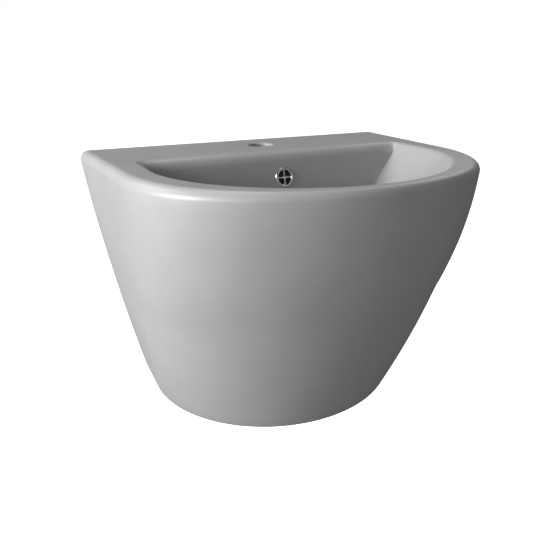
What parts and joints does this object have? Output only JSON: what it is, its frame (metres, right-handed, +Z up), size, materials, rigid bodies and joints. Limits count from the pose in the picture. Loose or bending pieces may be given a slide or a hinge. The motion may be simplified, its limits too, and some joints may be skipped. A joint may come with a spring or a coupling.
{
  "type": "wall hung basin",
  "caption": "Wall hung D-shaped ceramic basin with tap ledge, overflow and half shroud, with its push plug waste, bottle trap and wall fixings.",
  "frame": {"origin": "on the wall face, midway between the two fixing studs", "axes": "+X along the wall, to the right as seen from the room; +Y into the wall; +Z up"},
  "size_m": [0.4772, 0.4362, 0.34],
  "materials": {
    "ceramic": "satin mid grey glaze",
    "chrome": "polished",
    "brass": "as turned",
    "steel": "zinc plated",
    "rubber": "matte",
    "white_plastic": "matte",
    "trap_plastic": "moulded white"
  },
  "bodies": {
    "basin_set": {"basin_ledge": "ceramic", "basin_bowl": "ceramic", "basin_shroud": "ceramic", "overflow_grille": "chrome", "waste_body": "chrome", "latch_cartridge": "white_plastic", "latch_spring": "steel", "waste_top_seal": "rubber", "waste_lower_seal": "rubber", "slip_washer": "white_plastic", "back_nut": "brass", "trap_inlet_nut": "trap_plastic", "trap_inlet_seal": "rubber", "trap_body": "trap_plastic", "trap_cup": "trap_plastic", "trap_cup_seal": "rubber", "trap_outlet_nut": "trap_plastic", "trap_outlet_seal": "rubber", "trap_outlet_pipe": "trap_plastic", "wall_rosette": "trap_plastic", "wall_studs": "steel", "stud_sleeves": "white_plastic", "stud_washers": "steel", "stud_nuts": "steel"},
    "push_plug": {"plug_cap": "chrome", "plug_stem": "brass", "plug_seal": "rubber"}
  },
  "joints": [
    {"name": "plug_press", "type": "slide", "parent": "basin_set", "child": "push_plug", "axis": [0, 0, 1], "range_m": [-0.008, 0], "stiffness_N_per_m": 400, "springref_m": 0.02, "deforming": ["latch_spring"]}
  ]
}
